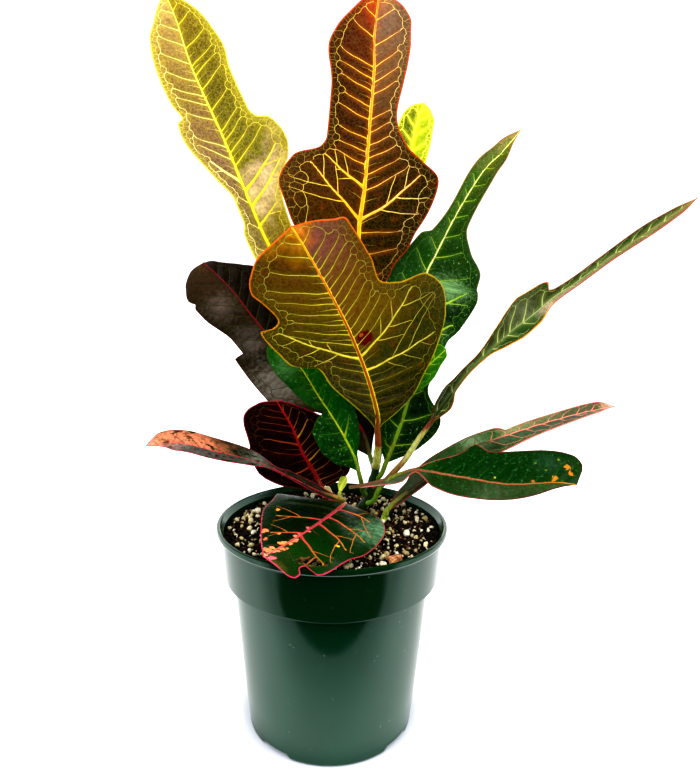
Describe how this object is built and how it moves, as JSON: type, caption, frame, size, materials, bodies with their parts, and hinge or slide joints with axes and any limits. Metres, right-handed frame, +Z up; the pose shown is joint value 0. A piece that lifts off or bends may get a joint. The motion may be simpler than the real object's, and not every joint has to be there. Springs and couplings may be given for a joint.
{
  "type": "potted croton plant",
  "caption": "Young croton with large lobed, colour-veined leaves, growing in a round green plastic nursery pot filled with peat and perlite.",
  "frame": {"origin": "centre of the pot's underside, on the surface that the pot stands on", "axes": "+Z up along the pot's axis, -Y towards the picture's viewer, +X to that viewer's right"},
  "size_m": [0.314, 0.177, 0.4566],
  "materials": {
    "pot_plastic": "dark green moulded plastic, soft sheen",
    "soil": "matt, crumbly, with cream perlite grains",
    "stem": "satin",
    "leaf_yellow": "waxy, glossy on the upper side and duller beneath",
    "leaf_bronze": "waxy, glossy on the upper side and duller beneath",
    "leaf_olive": "waxy, glossy on the upper side and duller beneath",
    "leaf_lime": "waxy, glossy on the upper side and duller beneath",
    "leaf_green": "waxy, glossy on the upper side and duller beneath",
    "leaf_grey_green": "waxy, glossy on the upper side and duller beneath",
    "leaf_pink": "waxy, glossy on the upper side and duller beneath",
    "leaf_deep_green": "waxy, glossy on the upper side and duller beneath",
    "leaf_dark": "waxy, glossy on the upper side and duller beneath",
    "leaf_maroon": "waxy, glossy on the upper side and duller beneath",
    "leaf_mid_green": "waxy, glossy on the upper side and duller beneath",
    "leaf_orange": "waxy, glossy on the upper side and duller beneath",
    "leaf_low": "waxy, glossy on the upper side and duller beneath",
    "leaf_bright_green": "waxy, glossy on the upper side and duller beneath",
    "bud": "waxy, glossy on the upper side and duller beneath",
    "bract": "dry and papery"
  },
  "bodies": {
    "root": {"pot": "pot_plastic", "soil": "soil", "stem_main": "stem", "stem_left": "stem", "stem_right": "stem", "leaf_yellow_top_left": "leaf_yellow", "leaf_bronze_top": "leaf_bronze", "leaf_olive_front": "leaf_olive", "leaf_lime_back": "leaf_lime", "leaf_green_tall_right": "leaf_green", "leaf_slim_far_right": "leaf_grey_green", "leaf_pink_low_right": "leaf_pink", "leaf_green_low_right": "leaf_deep_green", "leaf_dark_left": "leaf_dark", "leaf_maroon_low_left": "leaf_maroon", "leaf_green_mid": "leaf_mid_green", "leaf_orange_tip_left": "leaf_orange", "leaf_low_front": "leaf_low", "leaf_small_right": "leaf_bright_green", "bud_left": "bud", "bract_left": "bract"}
  },
  "joints": []
}
